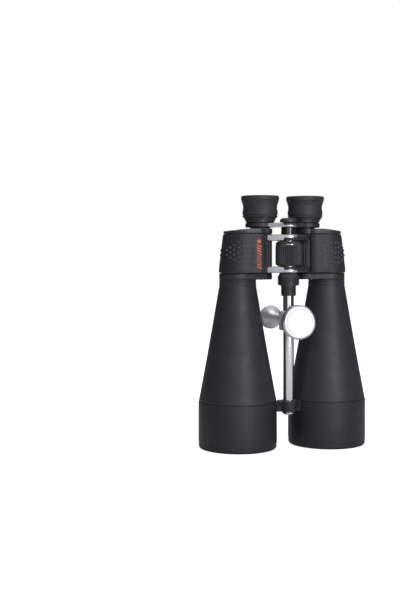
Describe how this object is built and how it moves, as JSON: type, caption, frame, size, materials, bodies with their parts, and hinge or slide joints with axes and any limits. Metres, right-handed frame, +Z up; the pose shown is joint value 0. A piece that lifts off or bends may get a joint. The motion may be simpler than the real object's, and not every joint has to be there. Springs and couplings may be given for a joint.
{
  "type": "astronomy binoculars",
  "caption": "Large porro-prism binoculars for night-sky viewing, with rubber-armoured barrels, a centre focus wheel, folding bridge and a clamp-on tripod post on a chrome rod.",
  "frame": {"origin": "centre of the underside: the middle of the bounding box at the level of the two objective rims that the binoculars stand on", "axes": "+Z up, from the objectives to the eyepieces; +Y from the focus wheel and clamp knob towards the tripod foot; +X towards the half with the dioptre eyepiece. The hinge axis is vertical at x = 0, y = -0.015875."},
  "size_m": [0.2262, 0.1168, 0.328],
  "materials": {
    "armour_rubber": "fine matte grain",
    "cup_rubber": "soft matte",
    "black_aluminium": "black anodised, satin",
    "satin_metal": "satin nickel",
    "optical_glass": "coated, polished",
    "prism_glass": "polished",
    "black_plastic": "satin, fine grain",
    "steel": "machined",
    "chrome": "polished",
    "gloss_black": "gloss black",
    "brass": "machined"
  },
  "bodies": {
    "column": {"hinge_shaft": "steel", "rod": "chrome", "hinge_collar": "black_plastic", "rod_end_cap": "chrome"},
    "left_half": {"left_objective_tube": "black_aluminium", "left_barrel_armour": "armour_rubber", "left_objective_sleeve": "armour_rubber", "left_lens_cell": "black_aluminium", "left_crown_lens": "optical_glass", "left_flint_lens": "optical_glass", "left_prism_housing": "black_aluminium", "left_housing_armour": "armour_rubber", "left_top_plate": "black_plastic", "left_bottom_plate": "black_aluminium", "left_upper_prism": "prism_glass", "left_lower_prism": "prism_glass", "left_prism_shelf": "black_aluminium", "left_upper_lug": "satin_metal", "left_lower_lug": "satin_metal", "left_brace_arm": "black_plastic"},
    "right_half": {"right_objective_tube": "black_aluminium", "right_barrel_armour": "armour_rubber", "right_objective_sleeve": "armour_rubber", "right_lens_cell": "black_aluminium", "right_crown_lens": "optical_glass", "right_flint_lens": "optical_glass", "right_prism_housing": "black_aluminium", "right_housing_armour": "armour_rubber", "right_top_plate": "black_plastic", "right_bottom_plate": "black_aluminium", "right_upper_prism": "prism_glass", "right_lower_prism": "prism_glass", "right_prism_shelf": "black_aluminium", "right_upper_lug": "black_aluminium", "right_lower_lug": "black_aluminium", "right_brace_arm": "black_plastic"},
    "focus_wheel": {"wheel_core": "black_aluminium", "wheel_grip": "cup_rubber"},
    "spindle": {"focus_spindle": "gloss_black", "bridge_cap": "black_plastic"},
    "left_eyepiece": {"left_bridge_arm": "satin_metal", "left_ocular_tube": "black_aluminium", "left_field_lens": "optical_glass", "left_eye_cell": "black_aluminium", "left_eye_lens": "optical_glass", "left_eyecup_base": "black_plastic", "left_eyecup": "cup_rubber"},
    "right_eyepiece": {"right_bridge_arm": "black_aluminium", "right_ocular_tube": "black_aluminium", "right_field_lens": "optical_glass"},
    "diopter_cell": {"right_eye_cell": "black_aluminium", "right_eye_lens": "optical_glass"},
    "diopter_ring": {"right_eyecup_base": "black_plastic", "right_eyecup": "cup_rubber"},
    "adapter_slider": {"clamp_bush": "black_plastic"},
    "tripod_adapter": {"clamp_collar": "satin_metal", "adapter_post": "satin_metal", "socket_insert": "brass"},
    "knob_screw": {"clamp_screw": "steel"},
    "clamp_knob": {"clamp_knob": "satin_metal"}
  },
  "joints": [
    {"name": "left_fold", "type": "hinge", "parent": "column", "child": "left_half", "pos_m": [0, -0.01588, 0], "axis": [0, 0, 1], "range_deg": [-5.75, 18.65]},
    {"name": "right_fold", "type": "hinge", "parent": "column", "child": "right_half", "pos_m": [0, -0.01588, 0], "axis": [0, 0, 1], "range_deg": [-18.7, 5.8]},
    {"name": "focus_travel", "type": "slide", "parent": "column", "child": "spindle", "axis": [0, 0, 1], "range_m": [-0.001, 0.01]},
    {"name": "focus_turn", "type": "hinge", "parent": "column", "child": "focus_wheel", "pos_m": [0, -0.01588, 0], "axis": [0, 0, 1], "range_deg": [-46, 451]},
    {"name": "left_eyepiece_travel", "type": "slide", "parent": "left_half", "child": "left_eyepiece", "axis": [0, 0, 1], "range_m": [-0.00105, 0.01005]},
    {"name": "right_eyepiece_travel", "type": "slide", "parent": "right_half", "child": "right_eyepiece", "axis": [0, 0, 1], "range_m": [-0.00105, 0.01005]},
    {"name": "diopter_travel", "type": "slide", "parent": "right_eyepiece", "child": "diopter_cell", "axis": [0, 0, 1], "range_m": [-0.0012, 0.0012]},
    {"name": "diopter_turn", "type": "hinge", "parent": "diopter_cell", "child": "diopter_ring", "pos_m": [0.0314, 0.00673, 0.2956], "axis": [0, 0, 1], "range_deg": [-61, 61]},
    {"name": "adapter_slide", "type": "slide", "parent": "column", "child": "adapter_slider", "axis": [0, 0, 1], "range_m": [-0.0655, 0.0185]},
    {"name": "adapter_swivel", "type": "hinge", "parent": "adapter_slider", "child": "tripod_adapter", "pos_m": [0, -0.01588, 0.1655], "axis": [0, 0, 1], "range_deg": [-6, 6]},
    {"name": "knob_travel", "type": "slide", "parent": "tripod_adapter", "child": "knob_screw", "axis": [0, -1, 0], "range_m": [0, 0.002]},
    {"name": "knob_turn", "type": "hinge", "parent": "knob_screw", "child": "clamp_knob", "pos_m": [0, -0.01588, 0.1655], "axis": [0, -1, 0], "range_deg": [-1, 721]}
  ],
  "couplings": [
    {"joint": "right_fold", "follows": "left_fold", "ratio": -1},
    {"joint": "focus_turn", "follows": "focus_travel", "rad_per_m": 785.4},
    {"joint": "left_eyepiece_travel", "follows": "focus_travel", "ratio": 1},
    {"joint": "right_eyepiece_travel", "follows": "focus_travel", "ratio": 1},
    {"joint": "diopter_turn", "follows": "diopter_travel", "rad_per_m": 872.66},
    {"joint": "knob_turn", "follows": "knob_travel", "rad_per_m": 6283.2}
  ]
}
